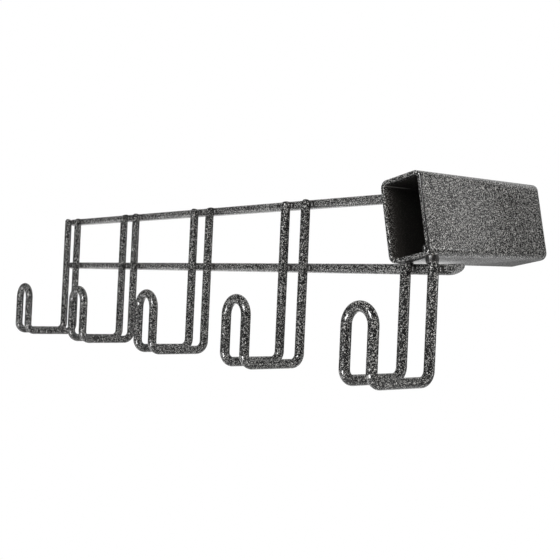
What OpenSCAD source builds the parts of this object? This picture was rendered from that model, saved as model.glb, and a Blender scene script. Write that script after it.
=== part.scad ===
// Hanging rack of welded wire: a row of twin-wire hooks on two rails, carried at one end by a
// rectangular socket tube. +X runs along the rails to the tube, the hooks open upwards and stand
// out to -Y, and the origin is the centre of the tube's front mouth.

/* [Wire] */
// Diameter of the hook and rail wire
wire_d = 8; // [6:0.5:10]
// Centreline radius of the two bends at the floor of a hook
bend_r = 8.4; // [6:0.2:14]
// Chamfer on the cut ends of the wire
end_chamfer = 0.8; // [0.2:0.1:1.5]

/* [Hooks] */
// Number of hooks
hook_count = 5; // [2:1:8]
// Distance from one hook to the next
hook_pitch = 143; // [80:1:200]
// Distance between the two wires of a hook, centre to centre
twin_spacing = 26.6; // [20:0.2:40]
// Distance from the uprights to the prong, centre to centre
hook_reach = 57.8; // [35:0.2:90]
// Height of the prong's crown above the floor of the hook, centre to centre
prong_rise = 52.3; // [30:0.1:75]
// Depth of the hook floor under the lower rail, centre to centre
hook_drop = 80.7; // [40:0.1:120]
// Depth of the uprights' cut ends under the top of the upper rail
upright_inset = 1.8; // [0:0.1:3]

/* [Rails] */
// Distance between the two rails, centre to centre
rail_rise = 54; // [30:1:57]
// Length of the lower rail past the last upright
rail_overrun = 20; // [16:1:60]
// Length of the rounded-up nose on the lower rail
nose_l = 14; // [10:0.5:16]

/* [Socket tube] */
// Outside width of the tube
tube_w = 40; // [34:0.1:60]
// Outside height of the tube
tube_h = 63.4; // [60:0.1:80]
// Length of the tube
tube_l = 144; // [60:1:300]
// Wall of the tube
tube_wall = 3.4; // [2:0.1:5]
// Outside corner radius of the tube
tube_corner_r = 6; // [5:0.5:10]
// Roll of the tube about its own axis, right side up, in degrees
tube_roll = 10.5; // [4:0.5:15]
// Rise of the tube towards its back end, in degrees
tube_pitch = 2; // [0:0.5:5]
// Distance that the tube's mouth stands in front of the uprights
mouth_overhang = 2.5; // [0:0.5:8]

/* [Welds] */
// Gap left between two wires before they are welded
seat_gap = 0.1; // [0.1:0.1:0.4]
// Radius of a bead where two wires cross
bead_r = 2.6; // [2:0.1:3.5]
// Leg of the bead around a wire that meets the tube
weld_leg = 1; // [0.4:0.1:2]

/* [Hidden] */
$fn = 64;
coat = [0.36, 0.36, 0.38];
burnt_coat = [0.22, 0.22, 0.23];
wire_r = wire_d / 2;
crown_r = twin_spacing / 2;
bead_turn = [37, 23, 0];

// Corner centres of the tube's section, before and after the roll
span_x = tube_w / 2 - tube_corner_r;
span_z = tube_h / 2 - tube_corner_r;
low_corner_x = span_z * sin(tube_roll) - span_x * cos(tube_roll);
tube_low = span_x * sin(tube_roll) + span_z * cos(tube_roll) + tube_corner_r;
right_corner_z = span_x * sin(tube_roll) - span_z * cos(tube_roll);
tube_right = span_x * cos(tube_roll) + span_z * sin(tube_roll) + tube_corner_r;
min_inner_r = 0.5;
tube_inner_r = max(tube_corner_r - tube_wall, min_inner_r);

// Depth of the three rows of wire
upright_y = mouth_overhang + wire_r;
rail_y = upright_y + wire_d + seat_gap;
crossing_y = (upright_y + rail_y) / 2;

// Heights, from the tube's lowest edge down and up
lower_z = (rail_y * sin(tube_pitch) - tube_low) / cos(tube_pitch) - seat_gap - wire_r;
upper_z = lower_z + rail_rise;
floor_z = lower_z - hook_drop;
upright_h = hook_drop + rail_rise + wire_r - upright_inset;
leg_h = prong_rise - crown_r;

// The last uprights lean over above this height, in an arc that ends square to the tube
lean_h = hook_drop - wire_d;
lean_top_z = right_corner_z - tube_corner_r / 2;
lean_r = (lean_top_z - floor_z - lean_h) / sin(tube_roll);
lean_shift = lean_r * (1 - cos(tube_roll));

// Places along the rails
outer_x = tube_right;
inner_x = outer_x - twin_spacing;
rail_left = hook_x(1) - wire_r;
rail_right = outer_x + rail_overrun;
nose_arc_r = (pow(wire_d, 2) + pow(nose_l, 2)) / (2 * wire_d);

// Left wire of hook k, counted from the far end of the rails
function hook_x(k) = inner_x - (hook_count - k) * hook_pitch;

// Underside of the tube over a place, and its left side at a place
function underside_z(x, y) =
    ((x * sin(tube_roll) - tube_h / 2) / cos(tube_roll) + y * sin(tube_pitch)) / cos(tube_pitch);
function left_side_x(y, z) =
    -(tube_w / 2 + (z * cos(tube_pitch) - y * sin(tube_pitch)) * sin(tube_roll)) / cos(tube_roll);

// Straight wire along +Z with a chamfered end at the top
module cut_wire(length) {
    cylinder(h = length - end_chamfer, d = wire_d);
    translate([0, 0, length - end_chamfer])
        cylinder(h = end_chamfer, r1 = wire_r, r2 = wire_r - end_chamfer);
}

// End of a rail along +X whose underside rounds up to a tip at the top
module nose() {
    intersection() {
        rotate([0, 90, 0]) cylinder(h = nose_l, d = wire_d);
        translate([0, 0, nose_arc_r - wire_r])
            rotate([90, 0, 0]) cylinder(h = 2 * wire_d, r = nose_arc_r, center = true);
    }
}

// Bent wire in the XY plane, turning about the origin from +X
module wire_arc(radius, angle) {
    rotate_extrude(angle = angle) translate([radius, 0]) circle(d = wire_d);
}

// Quarter bend in the YZ plane, starting at the given angle from +Y
module floor_bend(start) {
    rotate([90, 0, 90]) rotate([0, 0, start]) wire_arc(bend_r, 90);
}

// Upright of a whole hook, from the top of its bend
module plain_upright() {
    translate([0, 0, bend_r]) cut_wire(upright_h - bend_r);
}

// Upright of the last hook: it leans over, square to the underside of the tube
module leaning_upright() {
    translate([0, 0, bend_r]) cylinder(h = lean_h - bend_r, d = wire_d);
    translate([-lean_r, 0, lean_h]) rotate([90, 0, 0]) wire_arc(lean_r, tube_roll);
}

// Foot of one side of a hook: floor, its two bends and the leg of the prong
module hook_foot() {
    translate([0, -bend_r, bend_r]) floor_bend(-90);
    translate([0, -bend_r, 0]) rotate([90, 0, 0]) cylinder(h = hook_reach - 2 * bend_r, d = wire_d);
    translate([0, bend_r - hook_reach, bend_r]) floor_bend(180);
    translate([0, -hook_reach, bend_r]) cylinder(h = leg_h - bend_r, d = wire_d);
}

// Whole bent wire of hook k
module hook_wire(k) {
    translate([hook_x(k), upright_y, floor_z]) {
        for (x = [0, twin_spacing]) translate([x, 0, 0]) {
            hook_foot();
            if (k < hook_count) plain_upright();
            if (k == hook_count) leaning_upright();
        }
        translate([crown_r, -hook_reach, leg_h]) rotate([90, 0, 0]) wire_arc(crown_r, 180);
    }
}

module rounded_rect(w, h, r) {
    square([w - 2 * r, h], center = true);
    square([w, h - 2 * r], center = true);
    for (x = [-1, 1], y = [-1, 1]) translate([x * (w / 2 - r), y * (h / 2 - r)]) circle(r = r);
}

// Lays a length along +Z into the rolled and pitched axis of the tube
module tube_place() {
    rotate([tube_pitch, 0, 0]) rotate([0, -tube_roll, 0]) rotate([-90, 0, 0]) children();
}

// Outside of the tube as a solid, to cope the wires and beads that meet it
module tube_block() {
    tube_place() linear_extrude(tube_l) rounded_rect(tube_w, tube_h, tube_corner_r);
}

module upper_rail_wire() {
    translate([0, rail_y, upper_z]) rotate([0, -90, 0]) cut_wire(-rail_left);
}

module lower_rail_wire() {
    straight_l = rail_right - nose_l;
    translate([straight_l, rail_y, lower_z]) {
        rotate([0, -90, 0]) cut_wire(straight_l - rail_left);
        nose();
    }
}

// Round bead with its poles turned away from the wires that cut it
module bead(r) {
    rotate(bead_turn) sphere(r = r);
}

// Beads in the corners on the two sides of an upright where it crosses a rail
module crossing_beads(x, z, sides) {
    for (side = sides) translate([x + side * wire_r, crossing_y, z]) bead(bead_r);
}

// All beads of hook k: the free end of the rails leaves no corner on the first upright's outside
module hook_beads(k) {
    for (z = k < hook_count ? [lower_z, upper_z] : [lower_z]) {
        crossing_beads(hook_x(k), z, k == 1 ? [1] : [-1, 1]);
        crossing_beads(hook_x(k) + twin_spacing, z, [-1, 1]);
    }
}

module hook(k) {
    color(coat) difference() {
        hook_wire(k);
        if (k == hook_count) tube_block();
    }
}

module upper_rail() {
    color(coat) difference() {
        upper_rail_wire();
        tube_block();
    }
}

module lower_rail() {
    color(coat) lower_rail_wire();
}

module socket_tube() {
    color(coat) tube_place() linear_extrude(tube_l) difference() {
        rounded_rect(tube_w, tube_h, tube_corner_r);
        rounded_rect(tube_w - 2 * tube_wall, tube_h - 2 * tube_wall, tube_inner_r);
    }
}

module hook_welds(k) {
    color(burnt_coat) difference() {
        hook_beads(k);
        hook_wire(k);
        lower_rail_wire();
        upper_rail_wire();
    }
}

// Beads round the wires that end on the tube, and under its lowest edge on the lower rail
module tube_welds() {
    ring_r = wire_r + weld_leg;
    inner_end_x = inner_x - lean_shift;
    color(burnt_coat) difference() {
        union() {
            translate([inner_end_x, upright_y, underside_z(inner_end_x, upright_y)]) bead(ring_r);
            translate([outer_x - lean_shift, upright_y, lean_top_z]) bead(ring_r);
            translate([left_side_x(rail_y, upper_z), rail_y, upper_z]) bead(ring_r);
            for (side = [-1, 1])
                translate([low_corner_x, rail_y + side * wire_r, lower_z + wire_r]) bead(bead_r);
        }
        tube_block();
        hook_wire(hook_count);
        lower_rail_wire();
        upper_rail_wire();
        hook_beads(hook_count);
    }
}

for (k = [1:hook_count]) {
    hook(k);
    hook_welds(k);
}
upper_rail();
lower_rail();
socket_tube();
tube_welds();
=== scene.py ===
# %% [markdown]
# # A welded wire rack on a socket tube
# The rack is bent steel wire: a row of twin-wire hooks stands on two straight rails, and a short
# piece of rectangular tube at one end carries the lot. The solids come from the CAD model, in
# metres, and this lesson dresses them: it gives the tube its eased rims, replaces the round weld
# beads with lumpy ones, and paints everything in a silver-vein powder coat.

# %% Load the frame
import math
import random

import bpy
from mathutils import Euler, Matrix, Vector


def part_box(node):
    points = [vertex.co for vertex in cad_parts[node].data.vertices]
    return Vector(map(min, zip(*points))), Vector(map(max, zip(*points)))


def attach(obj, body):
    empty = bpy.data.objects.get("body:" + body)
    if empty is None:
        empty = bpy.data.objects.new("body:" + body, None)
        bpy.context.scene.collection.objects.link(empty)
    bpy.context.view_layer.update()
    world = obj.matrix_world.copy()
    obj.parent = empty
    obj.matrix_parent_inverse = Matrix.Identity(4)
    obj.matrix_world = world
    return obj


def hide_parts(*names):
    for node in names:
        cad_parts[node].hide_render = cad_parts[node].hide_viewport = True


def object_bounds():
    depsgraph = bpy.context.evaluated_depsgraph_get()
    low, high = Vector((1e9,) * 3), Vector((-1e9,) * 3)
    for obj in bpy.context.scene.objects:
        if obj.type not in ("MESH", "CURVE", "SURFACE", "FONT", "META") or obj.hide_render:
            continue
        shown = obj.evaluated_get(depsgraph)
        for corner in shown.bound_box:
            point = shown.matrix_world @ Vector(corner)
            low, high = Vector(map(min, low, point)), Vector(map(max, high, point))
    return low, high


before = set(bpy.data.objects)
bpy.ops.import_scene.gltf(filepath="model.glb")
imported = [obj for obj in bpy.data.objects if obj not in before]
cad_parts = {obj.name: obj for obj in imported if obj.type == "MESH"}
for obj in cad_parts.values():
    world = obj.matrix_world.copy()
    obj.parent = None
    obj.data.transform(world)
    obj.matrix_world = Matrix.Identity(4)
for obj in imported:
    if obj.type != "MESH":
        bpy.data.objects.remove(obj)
scene = bpy.context.scene
cad_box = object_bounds()
MM = 0.001
print("nodes", sorted(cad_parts))
print("CAD box", [[round(value, 4) for value in corner] for corner in cad_box])

# %% [markdown]
# ## The camera
# The photograph looks along the rack from its tube end, from a point level with the hooks. A camera
# can be aimed with angles, but a lens fitted to the wires gives three directions instead: the
# picture's right, its up, and the way back to the camera. Those are the columns of its matrix, so
# they go in as they are, and the slight roll of the picture comes with them.

# %% Place the camera
CAMERA_PLACE = Vector((432.94, -465.12, -58.09)) * MM
CAMERA_RIGHT = Vector((0.62975, 0.77552, 0.0445))
CAMERA_UP = Vector((-0.01792, -0.04276, 0.99892))
LENS_MM = 55.386
SENSOR_MM = 36.0
NEAR_CLIP = 10 * MM


def add_camera():
    """The photograph's camera, from its place and the picture's right and up."""
    right = CAMERA_RIGHT.normalized()
    back = right.cross(CAMERA_UP).normalized()
    up = back.cross(right)
    data = bpy.data.cameras.new("camera")
    data.lens = LENS_MM
    data.sensor_width = SENSOR_MM
    data.clip_start = NEAR_CLIP
    camera = bpy.data.objects.new("camera", data)
    turn = Matrix((right, up, back)).transposed().to_4x4()
    camera.matrix_world = Matrix.Translation(CAMERA_PLACE) @ turn
    scene.collection.objects.link(camera)
    scene.camera = camera
    return camera


print("camera at", [round(value, 3) for value in add_camera().location])

# %% [markdown]
# ## Sums on sockets
# Node trees get long when every sum is three lines of wiring. This small class holds one output
# socket and lets ordinary operators add the Math nodes, so a mask can be written as `1 - fleck`.
# Any other node comes from its one method, `node`, which takes the node's type, its settings and
# what goes into its sockets.

# %% A socket that can be used in sums


class Field:
    """An output socket in one material's tree."""

    def __init__(self, tree, socket):
        self.tree = tree
        self.socket = socket

    def node(self, kind, settings=None, inputs=None, output=0):
        """Adds a node, sets it up, fills its sockets, and returns one of its outputs."""
        made = self.tree.nodes.new(kind)
        for name, value in (settings or {}).items():
            setattr(made, name, value)
        for name, value in (inputs or {}).items():
            if isinstance(value, Field):
                self.tree.links.new(value.socket, made.inputs[name])
            else:
                made.inputs[name].default_value = value
        return Field(self.tree, made.outputs[output])

    def sum(self, operation, first, second):
        """Adds a Math node with two inputs."""
        return self.node("ShaderNodeMath", {"operation": operation}, {0: first, 1: second})

    def __add__(self, other):
        return self.sum("ADD", self, other)

    def __radd__(self, other):
        return self.sum("ADD", other, self)

    def __sub__(self, other):
        return self.sum("SUBTRACT", self, other)

    def __rsub__(self, other):
        return self.sum("SUBTRACT", other, self)

    def __mul__(self, other):
        return self.sum("MULTIPLY", self, other)

    def __rmul__(self, other):
        return self.sum("MULTIPLY", other, self)

    def larger(self, other):
        """The larger of two numbers."""
        return self.sum("MAXIMUM", self, other)

    def parts(self):
        """The X, Y and Z of a place or a direction."""
        kind = "ShaderNodeSeparateXYZ"
        return [self.node(kind, None, {0: self}, output=axis) for axis in range(3)]

    def step(self, low, high):
        """Rises smoothly from 0 at low to 1 at high."""
        settings = {"interpolation_type": "SMOOTHSTEP"}
        return self.node("ShaderNodeMapRange", settings, {0: self, 1: low, 2: high})

    def blend(self, dark, light):
        """A colour between two colours, by this number."""
        settings = {"data_type": "RGBA"}
        return self.node("ShaderNodeMix", settings, {0: self, 6: dark, 7: light}, output=2)


def new_material(name):
    """An empty material: its Object coordinates and its shader's inputs."""
    material = bpy.data.materials.new(name)
    material.use_nodes = True
    tree = material.node_tree
    shader = tree.nodes["Principled BSDF"]
    coordinates = tree.nodes.new("ShaderNodeTexCoord").outputs["Object"]
    return material, Field(tree, coordinates), shader


def plug(shader, field, name):
    """Feeds one of the shader's inputs."""
    field.tree.links.new(field.socket, shader.inputs[name])


print("sums ready")

# %% [markdown]
# ## The silver-vein coat
# Vein powder coat is a black ground that draws together in the oven, so that silver flake lies in
# short crooked islands with black between them, all under a clear gloss. A picture would repeat and
# stretch on round wire, so the islands are a noise on Object coordinates, cut at a threshold: the
# same size on wire and tube. A slower noise gathers them into clusters, a slower one still makes
# some patches duller, and the islands stand a little proud. The ground itself hardly shines, and
# the gloss is the shader's Coat layer, so that black stays black where nothing bright is mirrored.
#
# One recipe makes five coats. The welds have less silver and are duller, partly their own look and
# partly painted shade where the wires cross and under the tube. The eased edge at the right of the
# tube's mouth has less silver and is duller too, which is painted shade. Inside the tube the coat
# darkens with depth as painted shade, and a painted highlight runs in as a light line along the
# upper left corner.

# %% Mix the coats
FLECK_PITCH = 0.8 * MM
GLINT_PITCH = FLECK_PITCH * 0.7
CLUSTER_PITCH = 1.8 * MM
PATCH_PITCH = 7 * MM
PATCH_RANGE = (0.30, 0.70)
GLINT_RANGE = (0.38, 0.60)
ISLAND_EDGE = 0.05
ISLAND_HEIGHT = 0.08 * MM
ISLAND_BUMP = 0.25
ISLAND_METAL = 0.15
ISLAND_SMOOTHER = 0.15
GROUND_ROUGHNESS = 0.5
GROUND_SHINE = 0.12
CLEAR_COAT, THIN_CLEAR_COAT = 1.0, 0.2
GROUND = (0.006, 0.006, 0.0062, 1)
SILVER = (0.95, 0.945, 0.93, 1)
DULL_SILVER = (0.42, 0.42, 0.41, 1)
WELD_AND_SHADE_SILVER = (0.16, 0.14, 0.13, 1)
PAINTED_HIGHLIGHT_LINE = (0.34, 0.33, 0.32, 1)
DEEP_SHADE_FLAKE = (0.060, 0.056, 0.052, 1)
DEEP_SHADE_GROUND = (0.030, 0.028, 0.026, 1)
SHADE_DEPTH_FROM, SHADE_DEPTH_TO = -6 * MM, 11 * MM
LINE_X, LINE_Z, LINE_RISE = -21.07 * MM, 24.52 * MM, 0.035
LINE_CORE, LINE_EDGE = 0.2 * MM * MM, 0.9 * MM * MM
LINE_FADE_FROM, LINE_FADE_TO = 14 * MM, 32 * MM


def noise(place, pitch, detail=0.0, distortion=0.0):
    """Noise with features about one pitch apart."""
    inputs = {"Vector": place, "Scale": 1 / pitch, "Detail": detail, "Distortion": distortion}
    return place.node("ShaderNodeTexNoise", None, inputs)


def off_painted_highlight_line(x, y, z):
    """0 on the painted highlight line inside the tube, 1 beside it and farther in, by squared
    distance.
    """
    sideways = x - LINE_X
    rise = z - LINE_Z - y * LINE_RISE
    beside = (sideways * sideways + rise * rise).step(LINE_CORE, LINE_EDGE)
    return beside.larger(y.step(LINE_FADE_FROM, LINE_FADE_TO))


def vein_coat(name, silver, dull_silver, cover, gloss, clump=0.15, inside=False):
    """Silver islands on a black ground under a clear coat.

    Cover is the noise that the islands rise from, gloss the roughness of the clear coat, and
    clump how far the islands gather into clusters.
    """
    material, place, shader = new_material(name)
    cluster = noise(place, CLUSTER_PITCH) - 0.5
    fleck = noise(place, FLECK_PITCH, detail=1.0, distortion=0.1) + cluster * clump
    island = fleck.step(cover, cover + ISLAND_EDGE)
    patch = noise(place, PATCH_PITCH, detail=2.0).step(*PATCH_RANGE)
    glint = noise(place, GLINT_PITCH).step(*GLINT_RANGE)
    flake = (glint * (0.5 + patch * 0.5)).blend(dull_silver, silver)
    if inside:
        x, y, z = place.parts()
        # Painted shade: the coat darkens with depth into the tube.
        shade_depth = y.step(SHADE_DEPTH_FROM, SHADE_DEPTH_TO)
        colour = island.blend(shade_depth.blend(GROUND, DEEP_SHADE_GROUND), shade_depth.blend(flake, DEEP_SHADE_FLAKE))
        # Painted highlight: a light line along the upper left inner corner.
        colour = off_painted_highlight_line(x, y, z).blend(PAINTED_HIGHLIGHT_LINE, colour)
    else:
        colour = island.blend(GROUND, flake)
    plug(shader, colour, "Base Color")
    plug(shader, GROUND_ROUGHNESS - island * ISLAND_SMOOTHER, "Roughness")
    plug(shader, island * ISLAND_METAL, "Metallic")
    relief = {"Height": island, "Strength": ISLAND_BUMP, "Distance": ISLAND_HEIGHT}
    plug(shader, island.node("ShaderNodeBump", None, relief), "Normal")
    shader.inputs["Specular IOR Level"].default_value = GROUND_SHINE
    shader.inputs["Coat Weight"].default_value = THIN_CLEAR_COAT if inside else CLEAR_COAT
    shader.inputs["Coat Roughness"].default_value = gloss
    return material


wire_coat = vein_coat("wire_coat", SILVER, DULL_SILVER, cover=0.57, gloss=0.035, clump=0.22)
tube_coat = vein_coat("tube_coat", SILVER, DULL_SILVER, cover=0.545, gloss=0.035, clump=0.1)
# The weld coat is darker and browner: partly the welds' own look, partly painted shade where wires
# cross and under the tube.
weld_and_shade_coat = vein_coat("weld_and_shade_coat", WELD_AND_SHADE_SILVER, GROUND, cover=0.56, gloss=0.30)
# The edge coat has less and duller silver: painted shade along the eased edge of the mouth.
shaded_edge_coat = vein_coat("shaded_edge_coat", DULL_SILVER, GROUND, cover=0.66, gloss=0.20)
inner_shaded_coat = vein_coat("inner_shaded_coat", SILVER, DULL_SILVER, cover=0.55, gloss=0.25, inside=True)
for name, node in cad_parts.items():
    node.data.materials.clear()
    # The rails take the brighter tube coat: painted light, since they are the same wire as the
    # uprights and are lit more from above.
    coat = tube_coat if name.endswith("_rail") else wire_coat
    node.data.materials.append(weld_and_shade_coat if name.endswith("_welds") else coat)
print("coated", len(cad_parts), "nodes")

# %% [markdown]
# ## The socket tube
# Rectangular tube is rolled from strip, so its long corners are round inside and out, and its sawn
# ends are lightly eased before coating. The CAD solid has the round corners but sharp rims. Here a
# box gets its four long edges rounded, loses its two end faces, is given its wall by Solidify, and
# has the rims of its mouths eased by Bevel. Solidify also gives the inner faces the second
# material, the inner coat, which has less clear coat and a painted shade that deepens into the
# tube. The eased edge at the right of the front mouth is coloured darker as painted shade, and its
# faces are given the third.

# %% Make the socket tube
TUBE_W = 40 * MM
TUBE_H = 63.4 * MM
TUBE_L = 144 * MM
TUBE_WALL = 3.4 * MM
TUBE_CORNER = 6 * MM
CORNER_PARTS = 8
TUBE_ROLL = math.radians(10.5)
TUBE_PITCH = math.radians(2)
RIM_EASE = 0.9 * MM
RIM_PARTS = 3
RIM_ANGLE = 1.0
SMOOTH_ANGLE = math.radians(35)
SAME_PLACE = 0.001 * MM
tube_coats = [tube_coat, inner_shaded_coat, shaded_edge_coat]


def deselect():
    """Leaves nothing selected, because an operator acts on all that is."""
    if bpy.context.object and bpy.context.object.mode != "OBJECT":
        bpy.ops.object.mode_set(mode="OBJECT")
    bpy.ops.object.select_all(action="DESELECT")


def choose(piece, kind, test):
    """Selects, in edit mode, the points, edges or faces whose corners pass a test."""
    bpy.ops.object.mode_set(mode="EDIT")
    bpy.ops.mesh.select_mode(type=kind)
    bpy.ops.mesh.select_all(action="DESELECT")
    bpy.ops.object.mode_set(mode="OBJECT")
    mesh = piece.data
    if kind == "VERT":
        for point in mesh.vertices:
            point.select = test(point.co)
    else:
        for item in mesh.polygons if kind == "FACE" else mesh.edges:
            item.select = test([mesh.vertices[index].co for index in item.vertices])
    bpy.ops.object.mode_set(mode="EDIT")


def runs_along_y(corners):
    """True for an edge that runs along Y."""
    run = (corners[1] - corners[0]).normalized()
    return abs(run.y) > 0.9


def lies_across_y(corners):
    """True for a face whose corners have one Y."""
    return all(abs(corner.y - corners[0].y) < SAME_PLACE for corner in corners)


def on_shaded_edge(corners):
    """True for a face on the eased edge between the front rim and the right side."""
    reach = 1.05 * RIM_EASE
    return all(corner.x > TUBE_W / 2 - reach and corner.y < reach for corner in corners)


def apply_modifier(piece, kind, **settings):
    """Adds a modifier, sets it up and applies it."""
    modifier = piece.modifiers.new(kind.lower(), kind)
    for name, value in settings.items():
        setattr(modifier, name, value)
    bpy.ops.object.modifier_apply(modifier=modifier.name)


def finish_piece(piece, name, node):
    """Names a piece, and lets it stand for a CAD node."""
    piece.name = name
    piece.data.name = name
    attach(piece, "root")
    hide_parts(node)
    print(name, len(piece.data.polygons), "faces for", node)


def make_tube():
    """The tube at its mouth, rolled and pitched about the centre of the mouth."""
    deselect()
    bpy.ops.mesh.primitive_cube_add(size=1, location=(0, TUBE_L / 2, 0))
    tube = bpy.context.object
    tube.scale = (TUBE_W, TUBE_L, TUBE_H)
    bpy.ops.object.transform_apply(location=True, rotation=True, scale=True)
    choose(tube, "EDGE", runs_along_y)
    bpy.ops.mesh.bevel(offset=TUBE_CORNER, segments=CORNER_PARTS, affect="EDGES")
    choose(tube, "FACE", lies_across_y)
    bpy.ops.mesh.delete(type="FACE")
    bpy.ops.object.mode_set(mode="OBJECT")
    for coat in tube_coats:
        tube.data.materials.append(coat)
    wall = {"thickness": TUBE_WALL, "offset": -1.0, "use_even_offset": True}
    apply_modifier(tube, "SOLIDIFY", material_offset=tube_coats.index(inner_shaded_coat), **wall)
    ease = {"width": RIM_EASE, "segments": RIM_PARTS}
    apply_modifier(tube, "BEVEL", limit_method="ANGLE", angle_limit=RIM_ANGLE, **ease)
    # The eased edge at the right of the front mouth gets the darker coat, as painted shade.
    choose(tube, "FACE", on_shaded_edge)
    tube.active_material_index = tube_coats.index(shaded_edge_coat)
    bpy.ops.object.material_slot_assign()
    bpy.ops.object.mode_set(mode="OBJECT")
    turn = Matrix.Rotation(TUBE_PITCH, 4, "X") @ Matrix.Rotation(-TUBE_ROLL, 4, "Y")
    tube.matrix_world = turn
    bpy.ops.object.transform_apply(location=True, rotation=True, scale=True)
    bpy.ops.object.shade_smooth_by_angle(angle=SMOOTH_ANGLE)
    return tube


finish_piece(make_tube(), "tube_body", "socket_tube")

# %% [markdown]
# ## A weld bead
# Each crossing of two wires is held by a short bead on each side of the upright, laid by hand, so
# its surface is a row of ripples and no two are alike. A sphere is stretched into a bead, every
# second ring of points is let out to make the ripples, the points are shaken a little with a fixed
# seed, and a Subdivision modifier rounds the lot. A collar round a wire's end is made the same way
# from a torus. Both are patterns: the next two steps lay copies of them.

# %% Model a bead and a collar
BEAD_PARTS, BEAD_RINGS = 16, 13
BEAD_RIPPLE = (1.10, 1.10, 1)
BEAD_SHAKE, BEAD_SEED = 0.05, 4
COLLAR_PARTS, COLLAR_SIDES = 24, 10
COLLAR_THICK = 0.9 * MM
COLLAR_RIPPLE = (1.03, 1.03, 1.2)
COLLAR_SHAKE, COLLAR_SEED = 0.08 * MM, 9
rail_low, rail_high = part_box("upper_rail")
WIRE_R = (rail_high[2] - rail_low[2]) / 2


def ripple_ring(point):
    """True for every second ring of a sphere round Z."""
    fall = math.acos(max(-1.0, min(1.0, point.z / point.length)))
    return round(fall / math.pi * BEAD_RINGS) % 2 == 1


def ripple_part(point):
    """True for every second slice of a torus round Z."""
    return round(math.atan2(point.y, point.x) / math.tau * COLLAR_PARTS) % 2 == 1


def shake_and_round(piece, amount, seed):
    """Shakes all points a little, smooths the piece by one subdivision, and coats it."""
    bpy.ops.mesh.select_all(action="SELECT")
    bpy.ops.transform.vertex_random(offset=amount, uniform=0.0, normal=0.5, seed=seed)
    bpy.ops.object.mode_set(mode="OBJECT")
    apply_modifier(piece, "SUBSURF", levels=1, render_levels=1)
    bpy.ops.object.shade_smooth()
    piece.data.materials.append(weld_and_shade_coat)


def make_bead():
    """A rippled bead of radius 1 along Z."""
    deselect()
    bpy.ops.mesh.primitive_uv_sphere_add(segments=BEAD_PARTS, ring_count=BEAD_RINGS, radius=1)
    bead = bpy.context.object
    choose(bead, "VERT", ripple_ring)
    bpy.ops.transform.resize(value=BEAD_RIPPLE, center_override=(0, 0, 0))
    shake_and_round(bead, BEAD_SHAKE, BEAD_SEED)
    return bead


def make_collar():
    """A rippled collar round Z that closes on a wire."""
    deselect()
    size = {"major_radius": WIRE_R + COLLAR_THICK / 3, "minor_radius": COLLAR_THICK}
    parts = {"major_segments": COLLAR_PARTS, "minor_segments": COLLAR_SIDES}
    bpy.ops.mesh.primitive_torus_add(**size, **parts)
    collar = bpy.context.object
    choose(collar, "VERT", ripple_part)
    bpy.ops.transform.resize(value=COLLAR_RIPPLE, center_override=(0, 0, 0))
    shake_and_round(collar, COLLAR_SHAKE, COLLAR_SEED)
    return collar


bead_pattern = make_bead()
collar_pattern = make_collar()
for pattern in (bead_pattern, collar_pattern):
    print("pattern of", len(pattern.data.polygons), "faces")

# %% [markdown]
# ## The welds of the hooks
# The beads lie in the corners beside each upright, at the height of a rail, so their places are
# read from the boxes of the CAD nodes. The first upright stands at the very end of the rails and
# has no corner on its outer side. A flat cap of weld closes the top of each upright that ends on
# the upper rail. Each copy is stretched, turned about its length and tilted by a different amount,
# and the beads of a hook are joined into one piece.

# %% Lay the beads of the hooks
HOOK_COUNT = 5
TWIN_SPACING = 26.6 * MM
BEAD_SIZE = Vector((2.5, 2.3, 3.0)) * MM
CAP_SIZE = Vector((3.6, 3.6, 1.6)) * MM
CAP_BACK, CAP_RISE = 0.15 * WIRE_R, 0.52 * WIRE_R
SWELL = (0.92, 1.08)
TILT = 0.2
LAY_SEED = 5
chance = random.Random(LAY_SEED)


def middle_of(node):
    """The middle of a CAD node's box."""
    low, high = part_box(node)
    return (Vector(low) + Vector(high)) / 2


lower_rail = middle_of("lower_rail")
upper_rail = middle_of("upper_rail")
upright_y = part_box("hook_1")[1][1] - WIRE_R
crossing_y = (upright_y + lower_rail.y) / 2
cap_y = upright_y + CAP_BACK
cap_z = upper_rail.z + CAP_RISE


def copy_of(pattern, place, size, turn):
    """A copy of a pattern with its own mesh, with its place, size and turn in the mesh."""
    deselect()
    pattern.select_set(True)
    bpy.context.view_layer.objects.active = pattern
    bpy.ops.object.duplicate(linked=False)
    copy = bpy.context.object
    copy.matrix_world = Matrix.LocRotScale(place, turn, size)
    bpy.ops.object.transform_apply(location=True, rotation=True, scale=True)
    return copy


def joined(copies):
    """One piece of several."""
    deselect()
    for copy in copies:
        copy.select_set(True)
    bpy.context.view_layer.objects.active = copies[0]
    bpy.ops.object.join()
    return bpy.context.object


def bead_at(place, size):
    """A bead at a place, a little different each time."""
    swell = Vector([chance.uniform(*SWELL) for _ in range(3)])
    tilt = [chance.uniform(-TILT, TILT) for _ in range(2)]
    turn = Euler((*tilt, chance.uniform(0, math.tau)))
    return copy_of(bead_pattern, place, size * swell, turn.to_quaternion())


def upright_xs(k):
    """X of the left and the right upright of a hook."""
    right_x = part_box(f"hook_{k}")[1][0] - WIRE_R
    return right_x - TWIN_SPACING, right_x


def corner_places(k):
    """The corners beside both uprights of a hook, at each rail that they cross."""
    left_x, right_x = upright_xs(k)
    left_sides = (1,) if k == 1 else (-1, 1)
    for height in (lower_rail.z, upper_rail.z) if k < HOOK_COUNT else (lower_rail.z,):
        for x, sides in ((left_x, left_sides), (right_x, (-1, 1))):
            for side in sides:
                yield Vector((x + side * WIRE_R, crossing_y, height))


def cap_places(k):
    """The tops of both uprights of a hook, unless they run on to the tube."""
    for x in upright_xs(k) if k < HOOK_COUNT else ():
        yield Vector((x, cap_y, cap_z))


for k in range(1, HOOK_COUNT + 1):
    beads = [bead_at(place, BEAD_SIZE) for place in corner_places(k)]
    beads += [bead_at(place, CAP_SIZE) for place in cap_places(k)]
    finish_piece(joined(beads), f"hook_{k}_beads", f"hook_{k}_welds")
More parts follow.
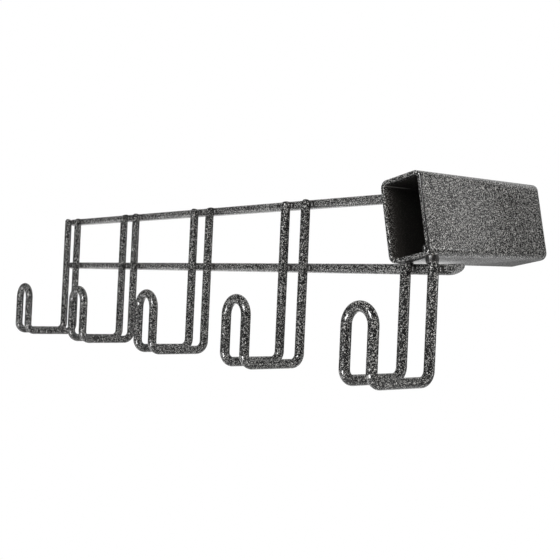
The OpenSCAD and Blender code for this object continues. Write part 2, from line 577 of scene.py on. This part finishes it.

# %% [markdown]
# ## The welds of the tube
# Three wires end on the tube: the two uprights of the last hook under it, and the upper rail on its
# side. Each has a collar that lies flat on the tube, and on the outer upright the collar is drawn
# out into a sleeve, whose dark weld coat also stands as painted shade for the tube's shadow on that
# upright. The tube's lowest edge sits on the lower rail with a bead on either side, and a dark lump
# sits on the rim of the mouth above the outermost upright, coloured with the painted shade of the
# edge beside it.

# %% Lay the collars and beads of the tube
INNER_END_SHIFT, INNER_END_Z = 0.8 * MM, -33.2 * MM
OUTER_END_SHIFT, OUTER_END_Z = 1.6 * MM, -30.2 * MM
COLLAR_SIZE = Vector((1, 1, 1))
SLEEVE_SIZE = Vector((0.93, 0.93, 3.4))
LUMP_PLACE = Vector((20.8, 0.3, -23.6)) * MM
LUMP_SIZE = Vector((1.7, 1.1, 3.6)) * MM
LUMP_TILT = -0.2
LOW_EDGE_X = -9.1 * MM

inner_x, outer_x = upright_xs(HOOK_COUNT)
inner_end = Vector((inner_x - INNER_END_SHIFT, upright_y, INNER_END_Z))
outer_end = Vector((outer_x - OUTER_END_SHIFT, upright_y, OUTER_END_Z))
rail_end = Vector((rail_high[0], upper_rail.y, upper_rail.z))
lean = Euler((0, -TUBE_ROLL, 0)).to_quaternion()
side_turn = Euler((0, math.pi / 2 - TUBE_ROLL, 0)).to_quaternion()
lump_turn = Euler((0, LUMP_TILT, 0)).to_quaternion()
along_x = Euler((0, math.pi / 2, 0)).to_quaternion()

lump = copy_of(bead_pattern, LUMP_PLACE, LUMP_SIZE, lump_turn)
# The lump takes the edge's darker coat: painted shade.
lump.data.materials[0] = shaded_edge_coat
tube_beads = [
    copy_of(collar_pattern, inner_end, COLLAR_SIZE, lean),
    copy_of(collar_pattern, outer_end, SLEEVE_SIZE, lean),
    copy_of(collar_pattern, rail_end, COLLAR_SIZE, side_turn),
    lump,
]
for side in (-1, 1):
    place = Vector((LOW_EDGE_X, lower_rail.y + side * WIRE_R, lower_rail.z + WIRE_R))
    tube_beads.append(copy_of(bead_pattern, place, BEAD_SIZE, along_x))
finish_piece(joined(tube_beads), "tube_beads", "tube_welds")
for pattern in (bead_pattern, collar_pattern):
    bpy.data.objects.remove(pattern)

# %% [markdown]
# ## The floor
# The rack hangs in front of plain white, with nothing near it. A backdrop close behind would take
# its shadow, so the white comes from the world instead, and a plain pale floor lies well below.

# %% Lay the floor
FLOOR_DROP = 0.55
FLOOR_SIZE = 1.1
FLOOR_WHITE = (0.9, 0.9, 0.9, 1)
FLOOR_ROUGHNESS = 0.9


def add_floor():
    """A plain pale floor under the rack."""
    deselect()
    low, high = cad_box
    middle = ((low[0] + high[0]) / 2, (low[1] + high[1]) / 2, low[2] - FLOOR_DROP)
    bpy.ops.mesh.primitive_plane_add(size=FLOOR_SIZE, location=middle)
    floor = bpy.context.object
    floor.name = "floor"
    material = bpy.data.materials.new("floor_white")
    material.use_nodes = True
    shader = material.node_tree.nodes["Principled BSDF"]
    shader.inputs["Base Color"].default_value = FLOOR_WHITE
    shader.inputs["Roughness"].default_value = FLOOR_ROUGHNESS
    floor.data.materials.append(material)
    return floor


print("floor at height", round(add_floor().location.z, 3))

# %% [markdown]
# ## The room in the gloss
# The world is white to the camera, but the gloss mirrors a studio that isn't white all round. It is
# dark on the camera's side, which keeps the wires black. A white table lies below, brightest right
# under the rack and to the left, and a pale wall stands behind. To the right, behind the tube, are
# a window and a narrow upright strip of light. Modelled cards could give that, but they would block
# other views. So the world gives mirror rays the room by the direction that they take, and each
# part of it is a mask with soft edges. A pair of numbers holds the two ends of an edge: in height,
# across, in depth, or in how nearly the ray goes towards the window or the strip. All other rays
# meet a soft light that falls off towards the ground.

# %% Build the room
SKY, GROUND_LIGHT = 0.66, 0.14
HORIZON = (-0.5, 0.5)
DARK_SIDE = 0.12
TABLE, TABLE_LEFT, TABLE_UNDER = 0.18, 1.1, 0.7
TABLE_EDGE = (-0.16, -0.06)
LEFT_EDGE, LEFT_TOP = (-0.62, -0.56), (-0.26, -0.19)
UNDER_EDGE = (-0.58, -0.30)
WALL = 0.6
WALL_FOOT, WALL_DEPTH, WALL_END = (0.25, 0.45), (0.2, 0.6), (0.2, 0.45)
WINDOW_WAY, WINDOW_EDGE = (0.70, 0.62, 0.35), (0.94, 0.995)
STRIP = 3
STRIP_WAY, STRIP_EDGE = (0.788, 0.616, 0), (0.982, 0.993)
STRIP_FOOT, STRIP_TOP = (-0.12, -0.05), (0.05, 0.12)


def toward(way, direction):
    """How nearly a ray goes in a direction, as their dot product."""
    settings = {"operation": "DOT_PRODUCT"}
    return way.node("ShaderNodeVectorMath", settings, {0: way, 1: direction}, output=1)


def mirrored_room(way):
    """How bright a room a mirror ray meets, by the way that it goes."""
    across, deep, height = way.parts()
    left_table = (1 - across.step(*LEFT_EDGE)) * (1 - height.step(*LEFT_TOP))
    under_table = 1 - height.step(*UNDER_EDGE)
    table = TABLE * (1 - height.step(*TABLE_EDGE))
    table = table + TABLE_LEFT * left_table + TABLE_UNDER * under_table
    wall = WALL * height.step(*WALL_FOOT) * deep.step(*WALL_DEPTH) * (1 - across.step(*WALL_END))
    window = toward(way, WINDOW_WAY).step(*WINDOW_EDGE)
    strip = toward(way, STRIP_WAY).step(*STRIP_EDGE)
    strip = strip * height.step(*STRIP_FOOT) * (1 - height.step(*STRIP_TOP))
    return DARK_SIDE + (1 - DARK_SIDE) * table.larger(window).larger(wall) + STRIP * strip


def white_world():
    """White to the camera, a studio to mirror rays, and a soft light to the rest."""
    world = bpy.data.worlds.new("white")
    world.use_nodes = True
    scene.world = world
    tree = world.node_tree
    path = tree.nodes.new("ShaderNodeLightPath")
    seen = Field(tree, path.outputs["Is Camera Ray"])
    glossy = Field(tree, path.outputs["Is Glossy Ray"])
    through = Field(tree, path.outputs["Is Transmission Ray"])
    way = Field(tree, tree.nodes.new("ShaderNodeTexCoord").outputs["Generated"])
    soft = GROUND_LIGHT + (SKY - GROUND_LIGHT) * way.parts()[2].step(*HORIZON)
    shown = seen.larger(through)
    strength = shown + (1 - shown) * (glossy * mirrored_room(way) + (1 - glossy) * soft)
    background = tree.nodes["Background"]
    background.inputs["Color"].default_value = (1, 1, 1, 1)
    tree.links.new(strength.socket, background.inputs["Strength"])


white_world()
print("room mirrored by", len(scene.world.node_tree.nodes), "nodes")

# %% [markdown]
# ## The lamps
# A streak on gloss is the picture of a lamp, and its place on the wire comes from where the lamp
# stands. Two small lamps in front of the rack, one high and one low, draw the streaks on the
# shoulders and the feet of the hooks, and are hidden from matt surfaces. Two more, hidden from the
# gloss, light the front and, a little warmer, the tube.

# %% Hang the lamps
STREAK_HEIGHTS = {"high_streak": 0.44, "low_streak": -0.56}
WARM = (1, 0.95, 0.88)


def add_lamp(name, place, target, size, power):
    """A square soft lamp that faces a target."""
    data = bpy.data.lights.new(name, "AREA")
    data.size = size
    data.energy = power
    lamp = bpy.data.objects.new(name, data)
    lamp.location = place
    lamp.rotation_euler = (Vector(target) - Vector(place)).to_track_quat("-Z", "Y").to_euler()
    scene.collection.objects.link(lamp)
    return lamp


front_lamp = add_lamp("front_lamp", (-0.2, -1.2, 0.5), (-0.2, 0, -0.06), size=0.6, power=4.0)
front_lamp.visible_glossy = False
for name, height in STREAK_HEIGHTS.items():
    streak = add_lamp(name, (0.10, -1.0, height), (0, 0, -0.06), size=0.4, power=13.0)
    streak.visible_diffuse = False
side_lamp = add_lamp("side_lamp", (0.75, -0.25, 0.30), (0, 0.03, 0), size=0.35, power=2.0)
side_lamp.data.color = WARM
side_lamp.visible_glossy = False
scene.view_settings.view_transform = "Standard"
